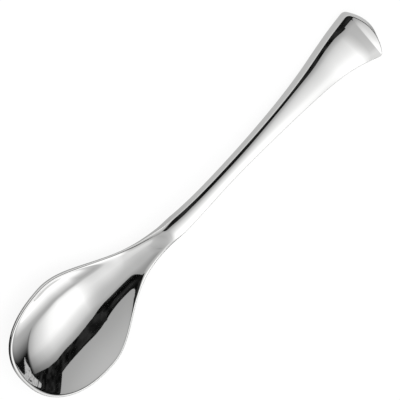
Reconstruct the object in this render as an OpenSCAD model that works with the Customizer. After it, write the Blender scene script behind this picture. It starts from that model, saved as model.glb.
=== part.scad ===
// Bouillon spoon: a polished steel forging with a round, hollow bowl, a short neck and a heavy,
// crowned handle that flares to a turned-up end. Millimetres. +X runs from the bowl to the end
// of the handle, +Z is up, and the spoon lies on a table at Z = 0 with its middle at the origin.

/* [Lengths] */
// Tip of the bowl to the end of the handle
overall_len = 165; // [155:1:185]
// Tip of the bowl to its widest place
nose_len = 24.8; // [20:0.1:28]
// Tip of the bowl to the heel, where the rim lies lowest
bowl_len = 50; // [46:0.5:56]
// Heel of the bowl to the start of the stem
neck_len = 22; // [18:0.5:28]
// Part of the handle that widens, up to its end
flare_len = 48; // [42:1:56]
// Turned-up toe at the end of the handle
toe_len = 11; // [9:0.5:15]
// Palm of the handle, before the toe
palm_len = 16; // [12:0.5:22]
// Bulge of the rounded end of the handle
end_bulge = 5; // [1:0.1:7]

/* [Bowl] */
// Width over the rim
bowl_w = 39.8; // [34:0.1:46]
// Depth below the rim
bowl_depth = 6.3; // [5:0.1:10]
// Roundness of the nose in plan, where 2 is an ellipse
nose_roundness = 2.32; // [2:0.01:2.8]
// Reach of the shoulders behind the widest place
shoulder_len = 22.4; // [20:0.1:27]
// Reach of the hollow behind the widest place
hollow_len = 18.5; // [15:0.5:24]
// Share of the depth that the hollow keeps along the neck
neck_hollow = 0.09; // [0:0.01:0.15]
// Thickness at the bottom
wall = 1.6; // [1:0.1:2.2]
// Height of the rim's outer edge
rim = 1.5; // [0.8:0.05:2]
// Rounding of the rim's outer edge
rim_round = 0.3; // [0.2:0.05:0.6]
// Width of the flat land on top of the rim
rim_land = 0.8; // [0.5:0.1:1.2]
// Tip above the rim at the widest place
tip_rise = 2.6; // [0:0.1:4]
// Heel below the rim at the widest place
heel_drop = 2.8; // [0:0.1:4]

/* [Handle widths] */
// At the start of the stem
neck_w = 6.3; // [5:0.1:8]
// At the waist of the stem
waist_w = 5.1; // [4:0.1:7]
// At the start of the flare
grip_w = 6.9; // [5:0.1:9]
// At the palm
palm_w = 10.4; // [8:0.1:13]
// At the toe
toe_w = 16.2; // [12:0.1:20]
// At the end
end_w = 22.8; // [16:0.1:26]

/* [Handle heights] */
// Top edges of the stem above the table
stem_h = 8.4; // [7:0.1:14]
// Top edges of the waist
waist_h = 7.8; // [6.5:0.1:14]
// Top edges at the start of the flare
grip_h = 6.5; // [5:0.1:12]
// Top edges at the palm
palm_h = 4.7; // [4.3:0.1:9]
// Lift of the end above the toe
end_lift = 3.1; // [0.5:0.1:4]

/* [Handle section] */
// Side wall of the stem
stem_t = 3.2; // [2.4:0.1:4]
// Side wall of the toe, which rests on the table
toe_t = 3.8; // [2.4:0.1:4.5]
// Rise of the stem's crowned face, for each millimetre of half width
stem_crown = 0.155; // [0.02:0.005:0.2]
// Rise of the flare's and the toe's crowned face, for each millimetre of half width
toe_crown = 0.1; // [0.02:0.005:0.2]
// Rounding of the long edges
edge_r = 0.5; // [0.3:0.05:0.8]
// Length of the roll-off at the end
lip_len = 4.4; // [3:0.1:6]
// Slope to which the face rolls off
lip_slope = 0.56; // [0.1:0.02:0.7]
// Length over which the face turns into the roll-off
lip_turn = 0.7; // [0.2:0.1:1.2]
// Rounding of the end
end_r = 1.2; // [0.6:0.1:1.4]

/* [Hidden] */

// Stations along the spoon
heel_x = bowl_len;
stem_x = bowl_len + neck_len;
flare_x = overall_len - flare_len;
waist_x = (stem_x + flare_x) / 2;
toe_x = overall_len - toe_len;
palm_x = toe_x - palm_len;
// The rim starts to thicken into the side walls of the stem a little ahead of the heel
thicken_x = heel_x - neck_len / 10;
// The crown of the top face comes in along the neck, between these
crown_x = heel_x + 0.45 * neck_len;
full_crown_x = stem_x + neck_len / 10;
// The land of the rim runs out from here to just behind the heel
land_x = nose_len + bowl_len / 5;
land_end_x = heel_x + neck_len / 5;

// The deepest place lies behind the widest one, where the sloping rim is this much lower
rim_slope_drop = 0.43;
rim_h = bowl_depth + wall + rim_slope_drop;
// The toe rests ahead of the place where it turns up, where its edges are this much lower
toe_slope_rise = 0.35;
toe_h = toe_t + toe_slope_rise;
// Flat on which the bowl and the toe rest, as deep as polishing and use take off
rest_flat = 0.06;

// Flat of the tip, hidden in the rounding of the rim
tip_flat = 0.03;
// Share of the end's rounding that the underside takes
end_under = 0.3;
// Share of a fourth power in the flare's crown, which makes it fuller than a parabola
crown_fullness = 0.4;

// Facets: from the middle line to an edge, round an edge, and along each stretch
FACE_N = 8;
ROUND_N = 3;
NOSE_N = 13;
BOWL_N = 11;
NECK_N = 11;
STEM_N = 10;
FLARE_N = 11;
TOE_N = 9;
TIP_ANGLE = 3;

steel = [0.78, 0.78, 0.77];
steel_handle = [0.7, 0.71, 0.72];

function mix(a, b, t) = a + (b - a) * t;

// Eases from 0 at x0 to 1 at x1, level at both
function ease(x, x0, x1) =
    let (t = min(max((x - x0) / (x1 - x0), 0), 1))
    t * t * t * (t * (6 * t - 15) + 10);

// Second derivatives of the natural cubic spline through the knots [[x, y], ...]
function spline_bends(knots) =
    let (
        n = len(knots) - 1,
        h = [for (i = [0:n]) i < n ? knots[i + 1][0] - knots[i][0] : 1],
        slope = [for (i = [0:n]) i < n ? (knots[i + 1][1] - knots[i][1]) / h[i] : 0],
        sweep = [
            for (
                i = 1, p = 2 * (h[0] + h[1]), c = h[1] / p, d = 6 * (slope[1] - slope[0]) / p;
                i < n;
                i = i + 1,
                p = 2 * (h[i - 1] + h[i]) - h[i - 1] * c,
                d = (6 * (slope[i] - slope[i - 1]) - h[i - 1] * d) / p,
                c = h[i] / p
            ) [c, d]
        ],
        backward = [
            for (i = n - 1, m = sweep[n - 2][1]; i > 0; i = i - 1,
                m = i > 0 ? sweep[i - 1][1] - sweep[i - 1][0] * m : 0) m
        ]
    )
    [for (i = [0:n]) i == 0 || i == n ? 0 : backward[n - 1 - i]];

// Spline with its second derivatives, [knots, bends]
function spline(knots) = [knots, spline_bends(knots)];

function on_spline(s, x) =
    let (
        k = s[0],
        m = s[1],
        below = [for (j = [1:len(k) - 2]) if (k[j][0] < x) j],
        i = len(below),
        h = k[i + 1][0] - k[i][0],
        a = k[i + 1][0] - x,
        b = x - k[i][0]
    )
    (m[i] * pow(a, 3) + m[i + 1] * pow(b, 3)) / (6 * h)
        + (k[i][1] / h - m[i] * h / 6) * a + (k[i + 1][1] / h - m[i + 1] * h / 6) * b;

// Height of the top edges from the tip to the end
edge_line = spline([
    [0, rim_h + tip_rise],
    [nose_len, rim_h],
    [heel_x, rim_h - heel_drop],
    [stem_x, stem_h],
    [waist_x, waist_h],
    [flare_x, grip_h],
    [palm_x, palm_h],
    [toe_x, toe_h],
    [overall_len, toe_h + end_lift],
]);

// Half width of the handle from the stem to the end
side_line = spline([
    [stem_x, neck_w / 2],
    [waist_x, waist_w / 2],
    [flare_x, grip_w / 2],
    [palm_x, palm_w / 2],
    [toe_x, toe_w / 2],
    [overall_len, end_w / 2],
]);

function edge_height(x) = on_spline(edge_line, x);
function handle_half(x) = on_spline(side_line, max(x, stem_x));

// Half width at x: a rounded nose, then shoulders that run out into the handle
function half_width(x) =
    let (half = bowl_w / 2, ahead = 1 - max(x, tip_flat) / nose_len)
    x < nose_len
        ? half * pow(1 - pow(ahead, nose_roundness), 1 / nose_roundness)
        : mix(handle_half(x), half, exp(-pow((x - nose_len) / shoulder_len, 2)));

// Share of the bowl's depth at x, for a hollow that starts at x0
function hollow(x, x0) =
    x < nose_len
        ? 1 - pow(1 - max(x - x0, 0) / (nose_len - x0), 2)
        : mix(neck_hollow, 1, exp(-pow((x - nose_len) / hollow_len, 2)));

// Width of the rim's land at x
function land(x) = rim_land * (1 - ease(x, land_x, land_end_x));

// Share of the stem's section at x: 0 in the bowl, 1 in the handle
function stem_share(x) = ease(x, thicken_x, stem_x);

function handle_side(x) = mix(stem_t, toe_t, ease(x, waist_x, toe_x));
function side_wall(x) = mix(rim, handle_side(x), stem_share(x));

// Share of the flare's crown at x: 0 up to the waist, 1 from the palm on
function flare_share(x) = ease(x, waist_x, palm_x);
function crown_rise(x) = mix(stem_crown, toe_crown, flare_share(x)) * handle_half(x);

// Rise of a face's middle over its edges: a hollow that starts at x0 in the bowl, which gives way
// to the crown of the handle by its share
function face_rise(x, x0, share) = mix(-bowl_depth * hollow(x, x0), crown_rise(x), share);

// Drop of the top face where it rolls off to the end
function lip_drop(x) =
    let (q = max(x - overall_len + lip_len, 0))
    lip_slope * (sqrt(q * q + lip_turn * lip_turn) - lip_turn);

// Thickness at the middle line, which grows behind the widest place into a keel under the neck
function middle_wall(x) =
    x < nose_len
        ? mix(rim, wall, hollow(x, 0))
        : mix(wall, handle_side(x) + crown_rise(x), ease(x, nose_len, stem_x));

// Falls from 1 on the middle line to 0 at the edges, for e from 0 to 1
function arch(e, fullness) = 1 - (1 - fullness) * e * e - fullness * pow(e, 4);

// Backward shift of the edges, which rounds the end of the handle in plan
function end_shift(x) = x > toe_x ? end_bulge * pow((x - toe_x) / toe_len, 2) : 0;

// Rounded edge from a face point to the side wall, by way of the sharp corner
function rounded(face, corner, side) = [
    for (i = [1:ROUND_N])
        let (t = i / ROUND_N) (1 - t) * (1 - t) * face + 2 * t * (1 - t) * corner + t * t * side
];

// One face of the section from its middle to its side wall: edge height, middle height, fullness,
// width of a level land along the edge and the way to the other face, down (-1) or up (1)
function half_face(w, r, edge_z, middle_z, fullness, level, way) =
    let (
        inner = w - max(level, 1.3 * r),
        z_at = function(y) edge_z + (middle_z - edge_z) * arch(min(y / (w - level), 1), fullness),
        face = [for (i = [0:FACE_N]) [inner * i / FACE_N, z_at(inner * i / FACE_N)]],
        edge = [w - r, z_at(w - r)]
    )
    concat(face, [edge], rounded(edge, [w, edge_z], [w, edge_z + way * r]));

function reversed(list) = [for (i = [len(list) - 1:-1:0]) list[i]];
function mirrored(list) = [for (p = list) [-p[0], p[1]]];
function past_first(list) = [for (i = [1:len(list) - 1]) list[i]];

// Both faces at x from right to left, [top, back], drawn in all round by inset for the end
function faces_at(x, inset) =
    let (
        w = half_width(x) - inset,
        edge = edge_height(x),
        top_edge = edge - inset,
        back_edge = edge - side_wall(x) + end_under * inset,
        top_middle = top_edge + face_rise(x, rim_land, ease(x, crown_x, full_crown_x)),
        back_middle = edge + face_rise(x, 0, stem_share(x)) - middle_wall(x) + end_under * inset,
        thick = top_edge - lip_drop(x) - back_edge,
        r = min(mix(rim_round, edge_r, stem_share(x)), w / 3, thick / 2.5),
        level = min(land(x), w / 2),
        fullness = crown_fullness * flare_share(x),
        top = half_face(w, r, top_edge, top_middle, fullness, level, -1),
        back = half_face(w, r, back_edge, back_middle, 0, 0, 1)
    )
    [for (half = [top, back]) concat(reversed(mirrored(half)), past_first(half))];

// Closed ring of points at x, top from right to left and back from left to right. Each point keeps
// its place in the section and follows the edges and the roll-off to where the round end shifts it.
function ring(x, inset) =
    let (faces = faces_at(x, inset), w = half_width(x) - inset)
    [
        for (is_top = [true, false], p = is_top ? faces[0] : reversed(faces[1]))
            let (
                shifted = x - end_shift(x) * pow(p[0] / w, 2),
                z = p[1] + edge_height(shifted) - edge_height(x) - (is_top ? lip_drop(shifted) : 0)
            )
            [shifted - overall_len / 2, p[0], max(z - rest_flat, 0)]
    ];

// Solid through rings of equal count, closed by a strip at each end
module loft(rings) {
    count = len(rings[0]);
    last = (len(rings) - 1) * count;
    skin = [
        for (i = [0:len(rings) - 2], j = [0:count - 1])
            let (a = i * count + j, b = i * count + (j + 1) % count)
            each [[a, a + count, b], [b, a + count, b + count]]
    ];
    ends = [
        for (j = [0:count / 2 - 2])
            let (k = count - 1 - j)
            each [[j, j + 1, k - 1, k], [last + k, last + k - 1, last + j + 1, last + j]]
    ];
    polyhedron(points = [for (one = rings) each one], faces = concat(skin, ends), convexity = 6);
}

function spaced(x0, x1, n) = [for (i = [1:n]) mix(x0, x1, i / n)];

nose_stations = [
    for (i = [0:NOSE_N])
        let (a = mix(TIP_ANGLE, 90, i / NOSE_N))
        i == 0 ? 0 : nose_len * (1 - pow(cos(a), 2 / nose_roundness))
];
bowl_stations = concat(
    nose_stations,
    spaced(nose_len, heel_x, BOWL_N),
    spaced(heel_x, stem_x, NECK_N)
);
handle_stations = concat(
    [stem_x],
    spaced(stem_x, flare_x, STEM_N),
    spaced(flare_x, toe_x, FLARE_N),
    spaced(toe_x, overall_len - end_r, TOE_N)
);

// Bowl with its neck, up to the start of the stem
module bowl() {
    color(steel)
        loft([for (x = bowl_stations) ring(x, 0)]);
}

// Stem, flare and turned-up toe, with a rounded end
module handle() {
    end_rings = [
        for (a = spaced(0, 90, ROUND_N + 1))
            ring(overall_len - end_r * (1 - sin(a)), end_r * (1 - cos(a)))
    ];
    color(steel_handle)
        loft(concat([for (x = handle_stations) ring(x, 0)], end_rings));
}

bowl();
handle();
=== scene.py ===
"""Mirror-polished bouillon spoon on a white studio table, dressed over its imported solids.

The spoon is one forging. Its skin is worked out as a single surface on a grid of ribs, from the
middle line out to the edge and back under, and then parted at the start of the stem into the two
pieces that stand for the solids. Sizes are in millimetres, from the tip of the bowl, and the
finished meshes are in metres in the frame of the solids.
"""

import logging
from abc import ABC, abstractmethod
from collections.abc import Callable, Mapping
from dataclasses import dataclass
from enum import Enum
from functools import cached_property

import bpy
import numpy as np
from bpy.types import Material, Node, NodeTree, Object
from bpy.types import NodeSocket as Socket
from mathutils import Matrix


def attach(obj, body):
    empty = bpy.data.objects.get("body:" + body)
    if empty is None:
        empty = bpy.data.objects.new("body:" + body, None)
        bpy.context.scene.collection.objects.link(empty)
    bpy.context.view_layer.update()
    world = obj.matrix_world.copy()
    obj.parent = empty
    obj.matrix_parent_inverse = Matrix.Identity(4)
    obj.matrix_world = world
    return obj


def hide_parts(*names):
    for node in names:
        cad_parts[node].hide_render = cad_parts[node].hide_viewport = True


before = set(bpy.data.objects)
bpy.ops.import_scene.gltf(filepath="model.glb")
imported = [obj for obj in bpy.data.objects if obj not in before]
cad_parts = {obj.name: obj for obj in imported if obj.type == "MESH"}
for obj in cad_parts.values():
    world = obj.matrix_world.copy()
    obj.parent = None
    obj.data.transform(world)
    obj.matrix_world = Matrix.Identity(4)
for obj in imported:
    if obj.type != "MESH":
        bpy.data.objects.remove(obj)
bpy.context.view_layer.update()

LOG = logging.getLogger("spoon")
MM = 0.001
TINY = 1e-9
MIRROR = np.array((1.0, -1.0, 1.0))

Array = np.ndarray
Skin = tuple[Array, Array, Array]
Pairs = tuple[tuple[float, float], ...]
Colour = tuple[float, float, float, float]
Inputs = Mapping[str | int, object]
Face = Callable[..., Array]


class Length(Enum):
    """The two lengths of the forging, each with the solid that it stands for."""

    BOWL = "bowl"
    HANDLE = "handle"


def mix(a: Array | float, b: Array | float, t: Array) -> Array:
    """Straight blend from a at t = 0 to b at t = 1."""
    return a + (b - a) * t


def ease(x: Array, start: float, end: float) -> Array:
    """Fifth-power step from 0 at start to 1 at end, level and unbent at both."""
    t = np.clip((x - start) / (end - start), 0.0, 1.0)
    return t**3 * (t * (6.0 * t - 15.0) + 10.0)


def swell(x: Array, start: float, full: float, fade: float, end: float) -> Array:
    """Eased rise from 0 at start to 1 at full, and eased fall from 1 at fade to 0 at end."""
    return ease(x, start, full) * (1.0 - ease(x, fade, end))


def soft_below(height: Array, turn: Array | float) -> Array:
    """The lower of height and 0, with the corner between them rounded over about turn."""
    return 0.5 * (height - np.sqrt(height**2 + 4.0 * turn**2))


def arch(e: Array, fullness: Array | float = 0.0) -> Array:
    """Falls from 1 at e = 0 to 0 at e = 1: a parabola, with fullness as its share of a fourth power."""
    return 1.0 - (1.0 - fullness) * e**2 - fullness * e**4


def bend(a: Array, corner: Array, b: Array, t: Array) -> Array:
    """Quadratic curve that leaves a and reaches b along the lines to the corner."""
    return (1.0 - t) ** 2 * a + 2.0 * t * (1.0 - t) * corner + t**2 * b


def run_length(points: Array) -> Array:
    """Distance along a polyline at each of its points."""
    steps = np.linalg.norm(np.diff(points, axis=0), axis=1)
    return np.concatenate(([0.0], np.cumsum(steps)))


def at_places(place: Array, along: Array, points: Array) -> Array:
    """Plan points at places along a polyline whose points have the distances along."""
    return np.column_stack([np.interp(place, along, points[:, k]) for k in range(2)])


def unit(vectors: Array) -> Array:
    """Vectors scaled to length 1 along the last axis."""
    return vectors / np.maximum(np.linalg.norm(vectors, axis=-1, keepdims=True), TINY)


def tangents(points: Array, axis: int) -> Array:
    """Directions of a grid of points along one axis.

    Each is the slope of the parabola through a point and its two neighbours, weighted by the
    lengths of the two steps, and at the ends the slope of the one step.

    Args:
        points: Grid of points, the last axis holding X, Y and Z.
        axis: The axis of the grid to follow, 0 or 1.

    Returns:
        Vectors of the shape of points.
    """
    step = np.diff(np.moveaxis(points, axis, 0), axis=0)
    length = np.maximum(np.linalg.norm(step, axis=-1, keepdims=True), TINY)
    slope = step / length
    before, after = length[:-1], length[1:]
    inner = (slope[:-1] * after + slope[1:] * before) / (before + after)
    return np.moveaxis(np.concatenate((slope[:1], inner, slope[-1:])), 0, axis)


class Spline:
    """Natural cubic spline: the smoothest curve through its knots, unbent at both ends."""

    def __init__(self, knots: list[tuple[float, float]]) -> None:
        """Solves the bends at the knots.

        Args:
            knots: Pairs of position and value, in order of position.
        """
        self.x, self.y = np.array(knots, float).T
        count, h = len(self.x), np.diff(self.x)
        system, turn = np.eye(count), np.zeros(count)
        i = np.arange(1, count - 1)
        system[i, i - 1], system[i, i], system[i, i + 1] = h[:-1], 2.0 * (h[:-1] + h[1:]), h[1:]
        turn[1:-1] = 6.0 * np.diff(np.diff(self.y) / h)
        self.bends = np.linalg.solve(system, turn)

    def __call__(self, x: Array) -> Array:
        """Reads the curve, from the cubic of the span that holds each place.

        Args:
            x: Positions.

        Returns:
            Values at x.
        """
        i = np.clip(np.searchsorted(self.x, x) - 1, 0, len(self.x) - 2)
        h, a, b = self.x[i + 1] - self.x[i], self.x[i + 1] - x, x - self.x[i]
        m, n, y, z = self.bends[i], self.bends[i + 1], self.y[i], self.y[i + 1]
        return (m * a**3 + n * b**3) / (6.0 * h) + (y / h - m * h / 6.0) * a + (z / h - n * h / 6.0) * b


@dataclass(frozen=True)
class SpoonForm:
    """The forging's sizes in millimetres, and the heights of its two faces over the plan."""

    # Lengths from the tip, the nose being up to the widest place and the neck behind the bowl.
    overall_len: float = 165.0
    nose_len: float = 24.8
    bowl_len: float = 50.0
    neck_len: float = 22.0
    # Lengths back from the end, with the palm ahead of the toe.
    flare_len: float = 48.0
    toe_len: float = 11.0
    turn_len: float = 12.5
    palm_len: float = 16.0
    end_bulge: float = 5.0
    # The bowl: the nose's roundness is a power, and the neck's hollow a share of the depth.
    bowl_w: float = 39.8
    bowl_depth: float = 6.3
    nose_roundness: float = 2.32
    shoulder_len: float = 22.4
    hollow_len: float = 18.5
    neck_hollow: float = 0.09
    wall: float = 1.6
    # The rim, its land and its line. The slope's drop sets the bowl's lowest place on the table.
    rim: float = 1.5
    rim_land: float = 0.8
    land_slope: float = 0.8
    rim_round: float = 0.75
    rim_slope_drop: float = 0.43
    tip_rise: float = 2.6
    heel_drop: float = 2.8
    # Turn of the crease inside the land, which is softest a little ahead of the heel.
    crease_turn: float = 0.08
    heel_turn: float = 0.35
    heel_lead: float = 2.0
    # Widths of the handle.
    neck_w: float = 6.6
    waist_w: float = 5.6
    grip_w: float = 7.0
    palm_w: float = 10.6
    toe_w: float = 16.7
    end_w: float = 23.2
    # Heights of the handle's edges and of its side walls.
    stem_h: float = 8.4
    waist_h: float = 7.8
    grip_h: float = 6.5
    palm_h: float = 4.7
    end_lift: float = 3.5
    stem_t: float = 3.0
    toe_t: float = 3.8
    toe_slope_rise: float = 0.25
    # The crown over half the width, and the shares of the neck between which it comes in.
    stem_crown: float = 0.155
    toe_crown: float = 0.10
    crown_fullness: float = 0.4
    crown_start: float = 0.4
    crown_end: float = 0.9
    # Roundings. What the neck adds comes in round the heel and goes round the start of the stem.
    edge_r: float = 0.25
    corner_r: float = 1.4
    neck_round: float = 1.2
    soft_lead: float = 4.0
    soft_run: float = 6.0
    hard_lead: float = 8.0
    hard_run: float = 2.0
    # The roll-off at the end, and how far the end's upper edge is drawn in.
    lip_len: float = 4.4
    lip_slope: float = 0.56
    lip_turn: float = 1.2
    end_draft: float = 1.3
    # What is cut off flat at the table, and the turn at the edges of the flats.
    rest_flat: float = 0.06
    flat_turn: float = 0.02

    @property
    def stem_x(self) -> float:
        """Start of the stem, where the two lengths meet."""
        return self.bowl_len + self.neck_len

    @property
    def toe_x(self) -> float:
        """Start of the turned-up toe."""
        return self.overall_len - self.toe_len

    @property
    def waist_x(self) -> float:
        """Waist of the stem, halfway to the flare."""
        return (self.stem_x + self.overall_len - self.flare_len) / 2.0

    @cached_property
    def edge_line(self) -> Spline:
        """Height of the top edges from the tip to the end.

        Returns:
            The spline through the heights of the rim, the stem, the flare and the toe.
        """
        rim_h = self.bowl_depth + self.wall + self.rim_slope_drop
        toe_h = self.toe_t + self.toe_slope_rise
        return Spline([
            (0.0, rim_h + self.tip_rise),
            (self.nose_len, rim_h),
            (self.bowl_len, rim_h - self.heel_drop),
            (self.stem_x, self.stem_h),
            (self.waist_x, self.waist_h),
            (self.overall_len - self.flare_len, self.grip_h),
            (self.toe_x - self.palm_len, self.palm_h),
            (self.overall_len - self.turn_len, toe_h),
            (self.overall_len, toe_h + self.end_lift),
        ])

    @cached_property
    def side_line(self) -> Spline:
        """Half width of the handle from the stem to the end."""
        return Spline([
            (self.stem_x, self.neck_w / 2.0),
            (self.waist_x, self.waist_w / 2.0),
            (self.overall_len - self.flare_len, self.grip_w / 2.0),
            (self.toe_x - self.palm_len, self.palm_w / 2.0),
            (self.toe_x, self.toe_w / 2.0),
            (self.overall_len, self.end_w / 2.0),
        ])

    def edge(self, x: Array) -> Array:
        """Height of the top edges above the table."""
        return self.edge_line(x) - self.rest_flat

    def handle_half(self, x: Array) -> Array:
        """Half width of the handle, held at the stem's over the bowl."""
        return self.side_line(np.maximum(x, self.stem_x))

    def half_width(self, x: Array, inset: Array | float = 0.0) -> Array:
        """Half width of the plan, drawn in by inset.

        The nose is a quarter of a superellipse. Behind the widest place the shoulders fall to the
        handle as a bell curve.

        Args:
            x: Distances from the tip.
            inset: How far inside the outline.

        Returns:
            Half widths, 0 ahead of the drawn-in nose.
        """
        half, power = self.bowl_w / 2.0, self.nose_roundness
        ahead = np.clip((self.nose_len - x) / (self.nose_len - inset), 0.0, 1.0)
        nose = (half - inset) * (1.0 - ahead**power) ** (1.0 / power)
        behind = np.maximum(x - self.nose_len, 0.0) / self.shoulder_len
        shoulder = mix(self.handle_half(x), half, np.exp(-(behind**2))) - inset
        return np.where(x < self.nose_len, nose, shoulder)

    def hollow(self, x: Array, start: float) -> Array:
        """Share of the bowl's depth: a parabola from start, then a bell curve to the neck's share.

        Args:
            x: Distances from the tip.
            start: Where the hollow starts.

        Returns:
            Shares, 1 at the widest place.
        """
        ahead = np.clip((self.nose_len - x) / (self.nose_len - start), 0.0, 1.0)
        behind = np.maximum(x - self.nose_len, 0.0) / self.hollow_len
        bell = mix(self.neck_hollow, 1.0, np.exp(-(behind**2)))
        return np.where(x < self.nose_len, 1.0 - ahead**2, bell)

    def land(self, x: Array) -> Array:
        """Width of the rim's land, run out from a fifth of the neck ahead of the heel to a third behind."""
        first = self.bowl_len - self.neck_len / 5.0
        return self.rim_land * (1.0 - ease(x, first, self.bowl_len + self.neck_len / 3.0))

    def crease(self, x: Array) -> Array:
        """Turn of the crease between hollow and land, softer from the last of the bowl to mid-neck."""
        soft = swell(
            x, self.nose_len + self.bowl_len / 5.0, self.bowl_len - self.heel_lead,
            self.bowl_len, self.bowl_len + self.neck_len / 2.0,
        )
        return mix(self.crease_turn, self.heel_turn, soft)

    def stem_share(self, x: Array) -> Array:
        """Share of the stem's section: 0 up to a tenth of the neck ahead of the heel, 1 on the handle."""
        return ease(x, self.bowl_len - self.neck_len / 10.0, self.stem_x)

    def crown_share(self, x: Array) -> Array:
        """Share of the handle's crown in the top face, which comes in along the neck."""
        start, end = self.crown_start * self.neck_len, self.crown_end * self.neck_len
        return ease(x, self.bowl_len + start, self.bowl_len + end)

    def handle_side(self, x: Array) -> Array:
        """Height of the handle's side wall."""
        return mix(self.stem_t, self.toe_t, ease(x, self.waist_x, self.toe_x))

    def side_wall(self, x: Array) -> Array:
        """Height of the edge, from the rim's to the handle's."""
        return mix(self.rim, self.handle_side(x), self.stem_share(x))

    def flare_share(self, x: Array) -> Array:
        """Share of the flare's crown: 0 up to the waist of the stem and 1 from the palm on."""
        return ease(x, self.waist_x, self.toe_x - self.palm_len)

    def crown_rise(self, x: Array) -> Array:
        """Rise of the handle's face over its edges, flatter on the flare."""
        share = mix(self.stem_crown, self.toe_crown, self.flare_share(x))
        return share * self.handle_half(x)

    def edge_round(self, x: Array) -> Array:
        """Radius of the edges, from the rim's to the handle's, with softer edges along the neck."""
        soft = swell(
            x, self.bowl_len - self.soft_lead, self.bowl_len + self.soft_run,
            self.stem_x - self.hard_lead, self.stem_x + self.hard_run,
        )
        return mix(self.rim_round, self.edge_r, self.stem_share(x)) + self.neck_round * soft

    def end_arc(self, y: Array, draft: float) -> Array:
        """X of the rounded end, a parabola across the width, less a draft that runs out at the corners."""
        across = (y / (self.end_w / 2.0)) ** 2
        return self.overall_len - draft - (self.end_bulge - draft) * across

    def top(self, x: Array, y: Array, inside: Array | float = np.inf) -> Array:
        """Height of the top face over the plan.

        In the bowl it is the edge's height less the hollow: the depth, times its share at x, times
        an arch across the width inside the land, with a rounded crease where it meets the land.
        On the handle it is the edge's height plus an arched crown, less a roll-off at the end that
        turns along a hyperbola, straight across the handle, into an even slope.

        Args:
            x: Distances from the tip.
            y: Distances from the middle line.
            inside: Distances inside the outline, needed only on and near the land.

        Returns:
            Heights above the table.
        """
        share, land = self.crown_share(x), self.land(x)
        across = np.abs(y) / np.maximum(self.half_width(x, land), TINY)
        bowl = -self.bowl_depth * self.hollow(x, self.rim_land) * arch(across)
        in_hollow = (across < 1.0) & (x > land)
        on_land = self.land_slope * np.maximum(land - inside, 0.0)
        bowl = soft_below(np.where(in_hollow, bowl, on_land), self.crease(x))
        over = np.abs(y) / np.maximum(self.half_width(x), TINY)
        crown = self.crown_rise(x) * arch(over, self.crown_fullness * self.flare_share(x))
        past = np.maximum(x - self.overall_len + self.lip_len, 0.0)
        lip = self.lip_slope * (np.hypot(past, self.lip_turn) - self.lip_turn)
        return self.edge(x) + mix(bowl, crown, share) - lip

    def back(self, x: Array, y: Array) -> Array:
        """Height of the underside over the plan.

        It is an arch across the width, from the lower edges to the thickness of the middle below
        the top face, and never below the table.

        Args:
            x: Distances from the tip.
            y: Distances from the middle line.

        Returns:
            Heights above the table.
        """
        share, hollow = self.stem_share(x), self.hollow(x, 0.0)
        rise = mix(-self.bowl_depth * hollow, self.crown_rise(x), share)
        stem = self.handle_side(x) + self.crown_rise(x)
        keel = mix(self.wall, stem, ease(x, self.nose_len, self.stem_x))
        middle = np.where(x < self.nose_len, mix(self.rim, self.wall, hollow), keel)
        across = np.minimum(np.abs(y) / np.maximum(self.half_width(x), TINY), 1.0)
        edge = self.edge(x) - self.side_wall(x)
        height = edge + (rise - middle + self.side_wall(x)) * arch(across)
        return -soft_below(-height, self.flat_turn)


@dataclass(frozen=True)
class RibPlan:
    """Where the ribs of the skin stand, and how many rows each has from top to underside."""

    bowl_ribs: int = 230
    handle_ribs: int = 230
    face_rows: int = 30
    shelf_rows: int = 16
    round_rows: int = 7
    wall_rows: int = 3
    back_rows: int = 30
    # Points on each run of the outline, and on the small corner of the end.
    run_points: int = 6000
    corner_points: int = 300
    # How many more ribs stand at the tip and past the end's corner, and over what distance.
    tip_crowd: float = 1.5
    tip_reach: float = 10.0
    corner_crowd: float = 5.0
    corner_reach: float = 2.5
    corner_past: float = 1.5
    # The strip of the top that follows the edge, and the spine that the nose and the end fan from.
    shelf: float = 0.6
    nose_fan: float = 8.0
    end_fan: float = 7.0
    end_fan_len: float = 15.0
    # Height of a wall, in radii, below which its roundings shrink.
    wall_radii: float = 2.2


@dataclass
class Ribs:
    """Plan of the left half: the lower and upper outlines, outward directions and spine places."""

    lower: Array
    upper: Array
    outward: Array
    spine: Array


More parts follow.
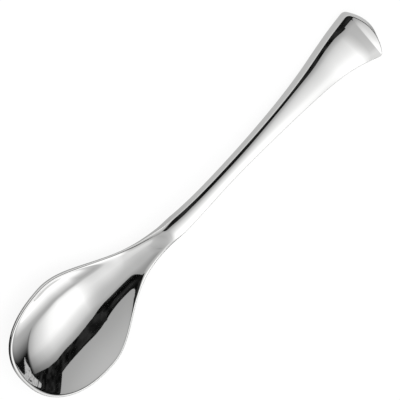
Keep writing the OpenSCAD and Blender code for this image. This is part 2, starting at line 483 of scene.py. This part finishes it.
class Wiring:
    """Adds shader nodes to one tree and joins their sockets."""

    def __init__(self, tree: NodeTree) -> None:
        """Takes the tree to add to."""
        self.tree = tree

    def feed(self, node: Node, inputs: Inputs) -> None:
        """Fills inputs of a node.

        Args:
            node: The node.
            inputs: By name or number, a socket to link or a value to set.
        """
        for key, given in inputs.items():
            if isinstance(given, Socket):
                self.tree.links.new(given, node.inputs[key])
            else:
                node.inputs[key].default_value = given

    def node(self, kind: str, inputs: Inputs | None = None, **settings: str) -> Node:
        """Adds a node.

        Args:
            kind: Its type, without the shader prefix.
            inputs: What its inputs get.
            **settings: Properties of the node, set before its inputs.

        Returns:
            The node.
        """
        made = self.tree.nodes.new(f"ShaderNode{kind}")
        for name, setting in settings.items():
            setattr(made, name, setting)
        self.feed(made, inputs or {})
        return made

    def place(self) -> Socket:
        """Place on the object, in its own coordinates."""
        return self.node("TexCoord").outputs["Object"]

    def noise(self, place: Socket, scale: float, detail: float) -> Socket:
        """Noise at a place, its scale per metre."""
        made = self.node("TexNoise", {"Vector": place, "Scale": scale, "Detail": detail})
        return made.outputs["Fac"]

    def maths(self, operation: str, *values: Socket | float) -> Socket:
        """Result of one operation on two or three values."""
        return self.node("Math", dict(enumerate(values)), operation=operation).outputs["Value"]

    def blend(self, share: Socket, a: Socket | float, b: Socket | float) -> Socket:
        """Blend from a at share 0 to b at share 1."""
        return self.node("Mix", {"Factor": share, "A": a, "B": b}).outputs["Result"]

    def leaning(self, x: Socket, y: Socket, lean: float, level: float) -> Socket:
        """X along leaning lines: x less lean for each step of y above level."""
        return self.maths("MULTIPLY_ADD", self.maths("ADD", y, -level), -lean, x)

    def ramp(self, source: Socket, stops: Pairs) -> Socket:
        """A curve of straight runs through stops.

        Args:
            source: Socket that the curve reads.
            stops: Pairs of position and value, in order of position.

        Returns:
            Socket with the value, level beyond the first and the last stop.
        """
        low, high = stops[0][0], stops[-1][0]
        peak = max(value for _, value in stops)
        scaled = self.node("MapRange", {"Value": source, "From Min": low, "From Max": high})
        curve = self.node("ValToRGB", {"Fac": scaled.outputs["Result"]})
        points = curve.color_ramp.elements
        while len(points) < len(stops):
            points.new(0.5)
        for point, (position, value) in zip(points, stops):
            point.position = (position - low) / (high - low)
            point.color = grey(value / peak)
        return self.maths("MULTIPLY", curve.outputs["Color"], peak)


def grey(tone: float) -> Colour:
    """A neutral colour."""
    return (tone, tone, tone, 1.0)


def show(name: str, data: bpy.types.ID) -> Object:
    """Puts a mesh or a camera into the scene as an object at the origin.

    Args:
        name: Name of the object.
        data: The mesh or camera.

    Returns:
        The object.
    """
    made = bpy.data.objects.new(name, data)
    bpy.context.scene.collection.objects.link(made)
    return made


@dataclass(frozen=True)
class SteelFinish:
    """Mirror polish on stainless steel, with the faint haze of the buffing wheel and of use."""

    colour: Colour = (0.80, 0.80, 0.795, 1.0)
    worn_colour: Colour = (0.86, 0.86, 0.85, 1.0)
    polish: float = 0.02
    haze: float = 0.03
    edge_haze: float = 0.02
    haze_scale: float = 55.0
    haze_detail: float = 4.0
    buff_scale: float = 900.0
    buff_detail: float = 6.0
    buff_stretch: float = 0.03
    grain_height: float = 5.0e-8
    # Wear of the top face, the land, the upper rounding, the wall, the lower rounding and the underside.
    wear: tuple[float, ...] = (0.0, 0.15, 1.0, 0.35, 0.8, 0.1)

    def material(self) -> Material:
        """Builds the node material.

        Two noises in the piece's own coordinates, one broad and one drawn out along the spoon as
        the buffing lines are, set the roughness. The fine one also lifts the surface by a fraction
        of a micrometre, and the worn edges are a little lighter and hazier.

        Returns:
            The material.
        """
        made = bpy.data.materials.new("polished_steel")
        made.use_nodes = True
        wires = Wiring(made.node_tree)
        place = wires.place()
        drawn = wires.node("Mapping", {"Vector": place, "Scale": (self.buff_stretch, 1.0, 1.0)})
        broad = wires.noise(place, self.haze_scale, self.haze_detail)
        fine = wires.noise(drawn.outputs["Vector"], self.buff_scale, self.buff_detail)
        worn = wires.node("Attribute", attribute_name="worn").outputs["Fac"]
        hazed = wires.maths("MULTIPLY_ADD", wires.maths("MULTIPLY", broad, fine), self.haze, self.polish)
        tint = wires.node(
            "Mix", {"Factor": worn, "A": self.colour, "B": self.worn_colour}, data_type="RGBA"
        )
        bump = wires.node("Bump", {"Strength": 1.0, "Distance": self.grain_height, "Height": fine})
        wires.feed(made.node_tree.nodes["Principled BSDF"], {
            "Metallic": 1.0,
            "Base Color": tint.outputs["Result"],
            "Roughness": wires.maths("MULTIPLY_ADD", worn, self.edge_haze, hazed),
            "Normal": bump.outputs["Normal"],
        })
        return made


@dataclass
class Spoon:
    """The spoon's skin: one surface on ribs, parted at the start of the stem."""

    form: SpoonForm
    plan: RibPlan
    finish: SteelFinish

    def outline(self, draft: float) -> tuple[Array, float]:
        """Left half of the plan outline, from the tip to the middle of the end.

        It is a quarter superellipse, then the side line, then a rounded corner as a quadratic
        curve through the sharp one, then the end's parabola. The last stretch of the side and the
        end are spaced evenly, so that outlines with different drafts match point for point.

        Args:
            draft: How far the middle of the end lies inside the full length.

        Returns:
            Dense points in order, and the distance along them at which the corner starts.
        """
        form, count = self.form, self.plan.run_points
        angle = np.linspace(0.0, np.pi / 2.0, count)
        power = 2.0 / form.nose_roundness
        nose = np.column_stack((
            form.nose_len * (1.0 - np.cos(angle) ** power),
            form.bowl_w / 2.0 * np.sin(angle) ** power,
        ))
        fan_x = form.overall_len - self.plan.end_fan_len
        x = np.linspace(form.nose_len, fan_x, count)[1:]
        side = np.column_stack((x, form.half_width(x)))
        x = np.linspace(fan_x, form.overall_len, count)
        flank = np.column_stack((x, form.half_width(x)))
        flank = flank[x <= form.end_arc(flank[:, 1], draft)]
        corner = flank[-1]
        along = run_length(flank)
        flank = at_places(np.linspace(0.0, along[-1] - form.corner_r, count)[1:], along, flank)
        y = np.linspace(corner[1], 0.0, count)
        end = np.column_stack((form.end_arc(y, draft), y))
        along = run_length(end)
        end = at_places(np.linspace(form.corner_r, along[-1], count), along, end)
        t = np.linspace(0.0, 1.0, self.plan.corner_points)[1:-1, None]
        turn = bend(flank[-1], corner, end[0], t)
        points = np.vstack((nose, side, flank, turn, end))
        return points, run_length(np.vstack((nose, side, flank)))[-1]

    def ribs(self) -> Ribs:
        """Stands the ribs along the outline.

        They are closer at the tip and at the corner of the end, each as a bell curve. Each rib runs
        from a place on the spine to the outline: the ribs of the nose and of the end fan out from a
        stretch of spine.

        Returns:
            The ribs from the tip to the end, one of them exactly at the start of the stem.
        """
        form, plan = self.form, self.plan
        points, corner = self.outline(0.0)
        upper, _ = self.outline(form.end_draft)
        along = run_length(points)
        near_tip = np.exp(-((along / plan.tip_reach) ** 2))
        near_corner = np.exp(-(((along - corner - plan.corner_past) / plan.corner_reach) ** 2))
        weight = 1.0 + plan.tip_crowd * near_tip + plan.corner_crowd * near_corner
        effort = np.concatenate(([0.0], np.cumsum((weight[1:] + weight[:-1]) / 2.0 * np.diff(along))))
        fan_x = form.overall_len - plan.end_fan_len
        widest, stem, fan = np.interp((form.nose_len, form.stem_x, fan_x), points[:, 0], along)
        at_stem = np.interp(stem, along, effort)
        stations = np.concatenate((
            np.linspace(0.0, at_stem, plan.bowl_ribs),
            np.linspace(at_stem, effort[-1], plan.handle_ribs)[1:],
        ))
        place = np.interp(stations, effort, along)
        lower, upper = at_places(place, along, points), at_places(place, along, upper)
        heading = unit(at_places(place, along, np.gradient(points, along, axis=0)))
        heading[0], heading[-1] = (0.0, 1.0), (0.0, -1.0)
        outward = np.column_stack((-heading[:, 1], heading[:, 0]))
        feet = (plan.nose_fan, form.nose_len, fan_x, form.overall_len - plan.end_fan)
        fanned = np.interp(place, (0.0, widest, fan, along[-1]), feet)
        spine = np.where((place > widest) & (place < fan), lower[:, 0], fanned)
        return Ribs(lower, upper, outward, spine)

    def skin(self) -> Skin:
        """Works out the left half of the skin.

        Each rib crosses the top face to a shelf along the edge, follows the outward direction over
        the land, turns down the rounded edge, down the wall, round the lower edge and back under
        to the spine. Heights come from the two faces, the roundings are quadratic curves through
        the sharp corners, and the wall is straight between them.

        Returns:
            Points, outward normals and wear, each as a grid of ribs by rows.
        """
        form, plan, ribs = self.form, self.plan, self.ribs()
        x = ribs.lower[:, 0]
        radius = form.edge_round(x)[:, None]
        shelf = np.maximum(form.land(x)[:, None], radius) + plan.shelf
        spine = np.column_stack((ribs.spine, np.zeros_like(ribs.spine)))[:, None, :]

        def inside(outline: Array, distance: Array) -> Array:
            """Plan points at distances inside an outline, as a grid of ribs by rows."""
            return outline[:, None, :] - distance[..., None] * ribs.outward[:, None, :]

        def raised(xy: Array, height: Face, *within: Array) -> Array:
            """Plan points with their heights on one of the faces."""
            return np.concatenate((xy, height(xy[..., 0], xy[..., 1], *within)[..., None]), axis=-1)

        e = np.linspace(0.0, 1.0, plan.face_rows)[None, :, None]
        face_xy = mix(spine, inside(ribs.upper, shelf), e)
        face = raised(face_xy, form.top)
        t = np.linspace(0.0, 1.0, plan.shelf_rows)[None, 1:]
        away = mix(shelf, radius, t)
        land_xy = inside(ribs.upper, away)
        land = raised(land_xy, form.top, away)

        upper = raised(ribs.upper[:, None, :], form.top, np.zeros_like(radius))
        lower = raised(ribs.lower[:, None, :], form.back)
        under_xy = inside(ribs.lower, radius)
        under = raised(under_xy, form.back)
        height = np.linalg.norm(lower - upper, axis=-1, keepdims=True)
        drop = np.minimum(radius[..., None], height / plan.wall_radii) * unit(lower - upper)
        t = np.linspace(0.0, 1.0, plan.round_rows)[None, 1:, None]
        over_edge = bend(land[:, -1:], upper, upper + drop, t)
        under_edge = bend(lower - drop, lower, under, t)
        t = np.linspace(0.0, 1.0, plan.wall_rows + 1)[None, 1:, None]
        wall = mix(over_edge[:, -1:], lower - drop, t)

        e = np.linspace(0.0, 1.0, plan.back_rows)[None, 1:, None]
        back_xy = mix(under_xy, spine, e)
        back = raised(back_xy, form.back)
        rows = (face, land, over_edge, wall, under_edge, back)
        points = np.concatenate(rows, axis=1)

        ahead, across = tangents(points, 0), tangents(points, 1)
        ahead[0], ahead[-1] = (0.0, 1.0, 0.0), (0.0, -1.0, 0.0)
        normals = unit(np.cross(ahead, across))
        normals[:, : plan.face_rows] = self.slopes(form.top, face_xy)
        normals[:, -plan.back_rows + 1 :] = -self.slopes(form.back, back_xy)
        worn = [np.full(row.shape[:2], wear) for row, wear in zip(rows, self.finish.wear)]
        return points, normals, np.concatenate(worn, axis=1)

    @staticmethod
    def slopes(height: Face, xy: Array) -> Array:
        """Upward normals of a height over the plan, from its differences a hundredth each way.

        Args:
            height: Height as a function of X and Y.
            xy: Grid of plan points.

        Returns:
            Unit vectors.
        """
        x, y, h = xy[..., 0], xy[..., 1], 0.01
        along = (height(x + h, y) - height(x - h, y)) / (2.0 * h)
        across = (height(x, y + h) - height(x, y - h)) / (2.0 * h)
        return unit(np.stack((-along, -across, np.ones_like(along)), axis=-1))

    def piece(self, length: Length, skin: Skin) -> Object:
        """Builds one length of the skin as a closed mesh, mirrored to both sides.

        The halves share the rows on the middle plane: the two spines, and the rib at the tip or
        at the end. A flat cap closes the cut at the start of the stem, and the normals of the
        whole skin are kept on both sides of it, so the polish runs across unbroken.

        Args:
            length: Which length to build.
            skin: Points, normals and wear of the left half of the whole skin.

        Returns:
            The mesh object, at the origin.
        """
        is_bowl = length is Length.BOWL
        cut = self.plan.bowl_ribs - 1
        part = slice(0, cut + 1) if is_bowl else slice(cut, None)
        points, normals, worn = (grid[part] for grid in skin)
        left = np.arange(worn.size).reshape(worn.shape)
        shared = np.zeros(worn.shape, bool)
        shared[:, (0, -1)] = True
        shared[0 if is_bowl else -1] = True
        right = left.copy()
        right[~shared] = worn.size + np.arange(np.count_nonzero(~shared))
        level = points.copy()
        level[shared, 1] = 0.0
        verts = np.vstack((level.reshape(-1, 3), (points * MIRROR)[~shared]))
        verts = (verts - (self.form.overall_len / 2.0, 0.0, 0.0)) * MM
        turned = np.vstack((normals.reshape(-1, 3), (normals * MIRROR)[~shared]))
        wear = np.concatenate((worn.ravel(), worn[~shared]))

        def quads(index: Array) -> Array:
            """Corner indices of the grid's cells, in order round each."""
            near, far = index[:-1], index[1:]
            return np.stack((near[:, :-1], far[:, :-1], far[:, 1:], near[:, 1:]), axis=-1).reshape(-1, 4)

        faces = np.vstack((quads(left), quads(right)[:, ::-1]))
        rib = -1 if is_bowl else 0
        ring = np.concatenate((left[rib], right[rib, -2:0:-1]))
        ring = ring if is_bowl else ring[::-1]
        mesh = bpy.data.meshes.new(f"{length.value}_skin")
        mesh.from_pydata(verts, [], [*faces.tolist(), ring.tolist()])
        smooth = np.ones(len(mesh.polygons), bool)
        smooth[-1] = False
        mesh.polygons.foreach_set("use_smooth", smooth)
        cap = np.tile((1.0 if is_bowl else -1.0, 0.0, 0.0), (len(ring), 1))
        mesh.normals_split_custom_set(np.vstack((turned[faces.ravel()], cap)).tolist())
        mesh.attributes.new("worn", "FLOAT", "POINT").data.foreach_set("value", wear.astype(np.float32))
        mesh.update()
        return show(f"polished_{length.value}", mesh)

    def build(self) -> list[Object]:
        """Builds both lengths and dresses them.

        Returns:
            The two pieces, riding on the root body in place of their solids.
        """
        skin, steel, made = self.skin(), self.finish.material(), []
        for length in Length:
            one = self.piece(length, skin)
            one.data.materials.append(steel)
            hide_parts(length.value)
            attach(one, "root")
            made.append(one)
        return made


@dataclass(frozen=True)
class CardPlane:
    """The level plane of the cards, whose places are slopes from the foot on the table under the bowl."""

    height: float = 0.7
    foot: tuple[float, float] = (-0.055, 0.0)

    def plan(self, corners: Pairs) -> Array:
        """Plan in metres of corners that are written as slopes."""
        return np.array(corners) * self.height + self.foot

    def slopes(self, wires: Wiring) -> tuple[Socket, Socket]:
        """The two slopes at each place of a card, from the card's own coordinates.

        Args:
            wires: Where to add the nodes.

        Returns:
            Sockets with the slopes along and across the spoon.
        """
        shift = (-self.foot[0] / self.height, -self.foot[1] / self.height, 0.0)
        scale = (1.0 / self.height,) * 3
        scaled = wires.node("Mapping", {"Vector": wires.place(), "Location": shift, "Scale": scale})
        parts = wires.node("SeparateXYZ", {"Vector": scaled.outputs["Vector"]})
        return parts.outputs["X"], parts.outputs["Y"]


class Glow(ABC):
    """Light of a card: one emission whose strength is worked out over the card."""

    name: str

    @abstractmethod
    def strength(self, wires: Wiring) -> Socket:
        """Socket with the strength at each place."""

    def material(self) -> Material:
        """Builds the node material.

        Returns:
            The material, which is seen but isn't sampled as a lamp.
        """
        made = bpy.data.materials.new(self.name)
        made.use_nodes = True
        made.cycles.emission_sampling = "NONE"
        made.node_tree.nodes.clear()
        wires = Wiring(made.node_tree)
        glow = wires.node("Emission", {"Strength": self.strength(wires)})
        wires.node("OutputMaterial", {"Surface": glow.outputs["Emission"]})
        return made


@dataclass(frozen=True)
class MottledGlow(Glow):
    """A card whose tone follows a noise: tones are pairs of noise and strength."""

    name: str
    scale: float
    tones: Pairs
    detail: float = 3.0

    def strength(self, wires: Wiring) -> Socket:
        """Socket with the strength at each place."""
        return wires.ramp(wires.noise(wires.place(), self.scale, self.detail), self.tones)


@dataclass(frozen=True)
class GreyGlow(Glow):
    """The grey card on the left, a little lighter upwards and away from the bowl."""

    plane: CardPlane
    name: str = "grey_card"
    tilt: float = 0.15
    tones: Pairs = ((0.0, 0.42), (0.25, 0.47), (0.5, 0.55), (0.8, 0.62), (2.0, 0.75))

    def strength(self, wires: Wiring) -> Socket:
        """Socket with the strength at each place."""
        x, y = self.plane.slopes(wires)
        return wires.ramp(wires.maths("MULTIPLY_ADD", x, self.tilt, y), self.tones)


@dataclass(frozen=True)
class OverheadGlow(Glow):
    """The softbox overhead, with the wall behind the bowl on one side and the far wall below.

    Each curve is pairs of a slope and a strength or share.
    """

    plane: CardPlane
    name: str = "overhead"
    # The softbox: the edge of the dark gap, the light by the distance from it, and the light to the right.
    gap_edge: Pairs = (
        (-0.28, 0.22), (-0.1, 0.165), (0.15, 0.145), (0.35, 0.16), (0.6, 0.26), (0.8, 0.38), (1.25, 0.82),
    )
    from_gap: Pairs = (
        (0.0, 0.30), (0.1, 0.40), (0.2, 0.57), (0.3, 0.67), (0.42, 0.78), (0.55, 0.93), (0.7, 1.0),
    )
    to_right: Pairs = (
        (0.4, 1.32), (0.6, 1.2), (0.8, 0.94), (1.0, 0.74), (1.2, 0.48), (1.26, 0.12), (1.3, 0.0),
    )
    lean: float = 0.14
    lean_level: float = -0.83
    # The far wall, which spreads to the right, and where the softbox ends in it below and on the right.
    far_wall: Pairs = (
        (-7.0, 1.28), (-5.0, 1.14), (-4.0, 0.96), (-3.0, 0.72), (-2.5, 0.53), (-1.9, 0.44), (-1.6, 0.34),
        (-1.28, 0.16), (-1.05, 0.006),
    )
    spread: float = 0.4
    box_foot: Pairs = ((-2.45, 0.0), (-2.28, 0.12), (-2.12, 0.5), (-1.95, 0.78), (-1.6, 1.0))
    foot_fall: float = 0.5
    box_end: Pairs = ((1.24, 0.0), (1.3, 1.0))
    # The wall behind the bowl, and where it ends along slanting lines.
    near_wall: Pairs = (
        (-7.0, 1.2), (-5.0, 0.85), (-4.0, 0.64), (-3.0, 0.5), (-2.5, 0.57), (-2.1, 0.84), (-1.2, 0.88),
        (-0.8, 0.70), (-0.55, 0.60), (-0.34, 0.56), (-0.27, 0.48), (-0.2, 0.40), (-0.1, 0.34), (1.0, 0.45),
    )
    wall_end: Pairs = ((-0.29, 0.0), (-0.11, 1.0))
    slant: float = 0.15
    slant_level: float = -0.5
    # The wall's dark corner, and the dusk on the way to it, each by the lighter of two curves.
    corner_x: Pairs = ((-0.8, 0.0), (-0.55, 1.0))
    corner_y: Pairs = ((-0.5, 1.0), (-0.25, 0.0))
    darkest: float = 0.02
    dusk_x: Pairs = ((-0.56, 0.84), (-0.34, 1.0))
    dusk_y: Pairs = ((-1.0, 1.0), (-0.75, 0.6))

    def strength(self, wires: Wiring) -> Socket:
        """Strength at each place.

        The softbox is one curve of the distance from the gap times one of the distance to the
        right. It blends into the far wall, which grows white towards the horizon, across a falling
        line below and a leaning one on the right. All of it blends into the wall behind the bowl
        across a slanting line, and that wall is dimmed towards its dark corner.

        Args:
            wires: Where to add the nodes.

        Returns:
            Socket with the strength.
        """
        x, y = self.plane.slopes(wires)
        right = wires.maths("MAXIMUM", x, 0.0)
        gap = wires.maths("MULTIPLY", wires.maths("ADD", y, wires.ramp(x, self.gap_edge)), -1.0)
        leaning = wires.leaning(x, y, self.lean, self.lean_level)
        softbox = wires.maths("MULTIPLY", wires.ramp(gap, self.from_gap), wires.ramp(leaning, self.to_right))
        spread = wires.maths("MULTIPLY_ADD", right, self.spread, 1.0)
        far_wall = wires.ramp(wires.maths("DIVIDE", y, spread), self.far_wall)
        falling = wires.maths("MULTIPLY_ADD", right, self.foot_fall, y)
        lit = wires.blend(wires.ramp(falling, self.box_foot), far_wall, softbox)
        lit = wires.blend(wires.ramp(leaning, self.box_end), lit, far_wall)
        corner = wires.maths("MAXIMUM", wires.ramp(x, self.corner_x), wires.ramp(y, self.corner_y))
        dusk = wires.maths("MAXIMUM", wires.ramp(x, self.dusk_x), wires.ramp(y, self.dusk_y))
        dim = wires.maths("MULTIPLY", wires.maths("MAXIMUM", corner, self.darkest), dusk)
        wall = wires.maths("MULTIPLY", wires.ramp(y, self.near_wall), dim)
        slanting = wires.leaning(x, y, self.slant, self.slant_level)
        return wires.blend(wires.ramp(slanting, self.wall_end), wall, lit)


@dataclass(frozen=True)
class Surroundings:
    """White for the camera and for diffuse light; reflections see walls that darken upwards.

    The curves read the direction: the walls its rise, and the dark corner its X and Y.
    """

    walls: Pairs = ((0.0, 1.28), (0.12, 1.28), (0.3, 0.75), (0.5, 0.5), (1.0, 0.45))
    corner_x: Pairs = ((-0.6, 0.0), (-0.35, 1.0))
    corner_y: Pairs = ((-0.15, 1.0), (0.1, 0.0))
    darkest: float = 0.02

    def build(self) -> None:
        """Makes the world: the walls times the lighter of the corner's two curves."""
        world = bpy.data.worlds.new("studio")
        bpy.context.scene.world = world
        world.use_nodes = True
        wires = Wiring(world.node_tree)
        direction = wires.node("TexCoord").outputs["Generated"]
        parts = wires.node("SeparateXYZ", {"Vector": direction}).outputs
        ahead, right = wires.ramp(parts["X"], self.corner_x), wires.ramp(parts["Y"], self.corner_y)
        corner = wires.maths("MAXIMUM", wires.maths("MAXIMUM", ahead, right), self.darkest)
        walls = wires.maths("MULTIPLY", wires.ramp(parts["Z"], self.walls), corner)
        glossy = wires.node("LightPath").outputs["Is Glossy Ray"]
        seen = wires.blend(glossy, 1.0, walls)
        wires.feed(world.node_tree.nodes["Background"], {"Color": grey(1.0), "Strength": seen})


@dataclass(frozen=True)
class WhiteTable:
    """The table: white and softly shadowed for the camera, and with painted shade under the spoon in
    reflections.
    """

    size: float = 12.0
    gap: float = 2.0e-5
    tone: float = 0.8
    glow: float = 0.84
    shadow_tone: float = 0.2
    # Painted shade that reflections see: the glow is darkest round the tip and dim on the side of negative
    # Y.
    shade_x: Pairs = (
        (-0.085, 0.01), (-0.078, 0.06), (-0.071, 0.22), (-0.06, 0.38), (-0.03, 0.40), (0.0, 0.58),
    )
    shade_y: Pairs = ((-0.012, 0.1), (0.0, 1.0))

    def material(self) -> Material:
        """Builds the node material.

        The camera sees a glow plus a faint matt white that takes the shadow, reflections see a
        glow with painted shade that is one curve along the spoon times one across, and other rays a matt
        white.

        Returns:
            The material.
        """
        made = bpy.data.materials.new("white_table")
        made.use_nodes = True
        made.node_tree.nodes.clear()
        wires = Wiring(made.node_tree)
        rays = wires.node("LightPath").outputs
        parts = wires.node("SeparateXYZ", {"Vector": wires.place()}).outputs
        # Painted shade in reflections, under and beside the spoon.
        along, across = wires.ramp(parts["X"], self.shade_x), wires.ramp(parts["Y"], self.shade_y)
        mirrored = wires.node("Emission", {"Strength": wires.maths("MULTIPLY", along, across)})
        matt = wires.node("BsdfDiffuse", {"Color": grey(self.tone)})
        faint = wires.node("BsdfDiffuse", {"Color": grey(self.shadow_tone)})
        glow = wires.node("Emission", {"Strength": self.glow})
        shown = wires.node("AddShader", {0: faint.outputs["BSDF"], 1: glow.outputs["Emission"]})
        plain = wires.node("MixShader", {
            "Fac": rays["Is Camera Ray"], 1: matt.outputs["BSDF"], 2: shown.outputs["Shader"],
        })
        table = wires.node("MixShader", {
            "Fac": rays["Is Glossy Ray"], 1: plain.outputs["Shader"], 2: mirrored.outputs["Emission"],
        })
        wires.node("OutputMaterial", {"Surface": table.outputs["Shader"]})
        return made

    def build(self) -> Object:
        """Lays the table just below the spoon.

        Returns:
            The table.
        """
        half = self.size / 2.0
        z = -self.gap
        mesh = bpy.data.meshes.new("table")
        corners = [(-half, -half, z), (half, -half, z), (half, half, z), (-half, half, z)]
        mesh.from_pydata(corners, [], [(0, 1, 2, 3)])
        mesh.materials.append(self.material())
        return show("table", mesh)


class Panel(Enum):
    """Cards above the table, by what the polish shows of them, nearest first."""

    FLAG = "flag"
    SIDE_LIGHT = "side_light"
    DARK_GAP = "dark_gap"
    GREY_CARD = "grey_card"
    OVERHEAD = "overhead"


@dataclass(frozen=True)
class Studio:
    """White table, white surroundings and the cards that the mirror finish reflects.

    The cards are stacked in one level plane above the spoon, but for a black flag that hangs lower
    and has its corners in metres. Only reflections see them.
    """

    plane: CardPlane = CardPlane()
    stack: float = 0.005
    black: MottledGlow = MottledGlow("dark", 14.0, ((0.4, 0.003), (0.5, 0.01), (0.65, 0.03)))
    silver: MottledGlow = MottledGlow("side_light", 30.0, ((0.36, 0.03), (0.42, 0.5), (0.6, 0.62)))
    flag_height: float = 0.25
    flag: Pairs = (
        (-0.10, -0.03), (-0.075, -0.043), (-0.05, -0.042), (0.00, -0.038), (0.03, -0.03), (0.06, -0.03),
        (0.075, -0.01), (0.06, -0.004), (0.03, 0.007), (-0.02, 0.017), (-0.10, 0.02),
    )
    side_light: Pairs = (
        (1.27, -0.92), (1.24, -0.76), (1.13, -0.50), (1.16, -0.47), (1.26, -0.62), (1.36, -0.88),
        (1.46, -1.06), (1.40, -1.18), (1.33, -1.35), (1.28, -1.50), (1.25, -1.56), (1.27, -1.40),
        (1.26, -1.20), (1.25, -1.05),
    )
    dark_gap: Pairs = (
        (-0.285, -0.23), (-0.25, -0.23), (-0.19, -0.21), (-0.10, -0.175), (0.00, -0.15), (0.15, -0.145),
        (0.30, -0.15), (0.40, -0.18), (0.50, -0.23), (0.68, -0.295), (0.85, -0.42), (1.05, -0.63),
        (1.23, -0.82), (1.32, -0.90), (1.50, -0.75), (4.50, 2.00), (1.60, 0.70), (0.84, 0.04),
        (0.76, -0.015), (0.70, -0.06), (0.63, -0.035), (0.50, 0.02), (0.40, 0.06), (0.25, 0.11),
        (0.10, 0.125), (-0.05, 0.12), (-0.20, 0.09), (-0.27, 0.06), (-0.31, 0.045), (-0.325, 0.035),
        (-0.31, -0.06),
    )
    grey_card: Pairs = (
        (-0.36, -0.05), (1.10, -0.10), (3.60, 2.00), (3.60, 6.00), (-6.0, 6.0), (-0.43, 0.50),
    )
    overhead: Pairs = ((-8.0, 1.2), (-8.0, -9.0), (8.0, -9.0), (8.0, 0.0), (-0.3, 1.2))

    def build(self) -> list[Object]:
        """Makes the surroundings, the table and the cards.

        Returns:
            The stage objects.
        """
        Surroundings().build()
        black = self.black.material()
        dressed = {
            Panel.SIDE_LIGHT: (self.side_light, self.silver.material()),
            Panel.DARK_GAP: (self.dark_gap, black),
            Panel.GREY_CARD: (self.grey_card, GreyGlow(self.plane).material()),
            Panel.OVERHEAD: (self.overhead, OverheadGlow(self.plane).material()),
        }
        made = [WhiteTable().build(), self.card(Panel.FLAG, np.array(self.flag), self.flag_height, black)]
        for layer, (panel, (corners, glow)) in enumerate(dressed.items()):
            height = self.plane.height + layer * self.stack
            made.append(self.card(panel, self.plane.plan(corners), height, glow))
        return made

    @staticmethod
    def card(panel: Panel, plan: Array, height: float, glow: Material) -> Object:
        """Hangs one flat, level card, seen by reflections alone.

        Args:
            panel: Which card.
            plan: Corners in plan.
            height: Height above the table.
            glow: Material.

        Returns:
            The card.
        """
        verts = np.column_stack((plan, np.full(len(plan), height)))
        mesh = bpy.data.meshes.new(panel.value)
        mesh.from_pydata(verts, [], [list(range(len(verts)))])
        mesh.materials.append(glow)
        made = show(panel.value, mesh)
        made.visible_camera = made.visible_diffuse = made.visible_shadow = False
        made.visible_transmission = made.visible_volume_scatter = False
        return made


@dataclass(frozen=True)
class Viewpoint:
    """The photograph's camera: a long lens above and to the left, with the spoon on the diagonal.

    toward is the level part of the direction from the spoon to the camera, and slide moves the
    camera along and across the spoon, in millimetres. The clip distances are in metres.
    """

    toward: tuple[float, float] = (-0.0446, 0.4765)
    aim: tuple[float, float, float] = (0.0, 0.0, 7.0)
    distance: float = 736.0
    frame_width: float = 132.14
    slide: tuple[float, float] = (0.71, 0.48)
    sensor: float = 36.0
    clip: tuple[float, float] = (0.05, 50.0)

    def build(self) -> Object:
        """Places the camera: its picture's diagonal follows the spoon's length.

        Returns:
            The camera, set as the scene's.
        """
        x, y = self.toward
        back = np.array((x, y, np.sqrt(1.0 - x * x - y * y)))
        along = unit(np.array((1.0, 0.0, 0.0)) - x * back)
        across = np.cross(back, along)
        right, up = (along - across) / np.sqrt(2.0), (along + across) / np.sqrt(2.0)
        place = np.array(self.aim) + self.distance * back + self.slide[0] * along + self.slide[1] * across
        matrix = np.eye(4)
        matrix[:3, :3] = np.column_stack((right, up, back))
        matrix[:3, 3] = place * MM
        lens = bpy.data.cameras.new("camera")
        lens.sensor_width = self.sensor
        lens.lens = self.sensor * self.distance / self.frame_width
        lens.clip_start, lens.clip_end = self.clip
        made = show("camera", lens)
        made.matrix_world = Matrix(matrix.tolist())
        bpy.context.scene.camera = made
        return made


def main() -> None:
    """Builds the spoon, the studio and the camera, and reports each piece."""
    logging.basicConfig(level=logging.INFO, format="%(name)s: %(message)s")
    bpy.context.scene.view_settings.view_transform = "Standard"
    for piece in Spoon(SpoonForm(), RibPlan(), SteelFinish()).build():
        LOG.info("%s has %d faces", piece.name, len(piece.data.polygons))
    for item in Studio().build():
        LOG.info("stage: %s", item.name)
    LOG.info("camera: %.1f mm lens", Viewpoint().build().data.lens)


if __name__ == "__main__":
    main()
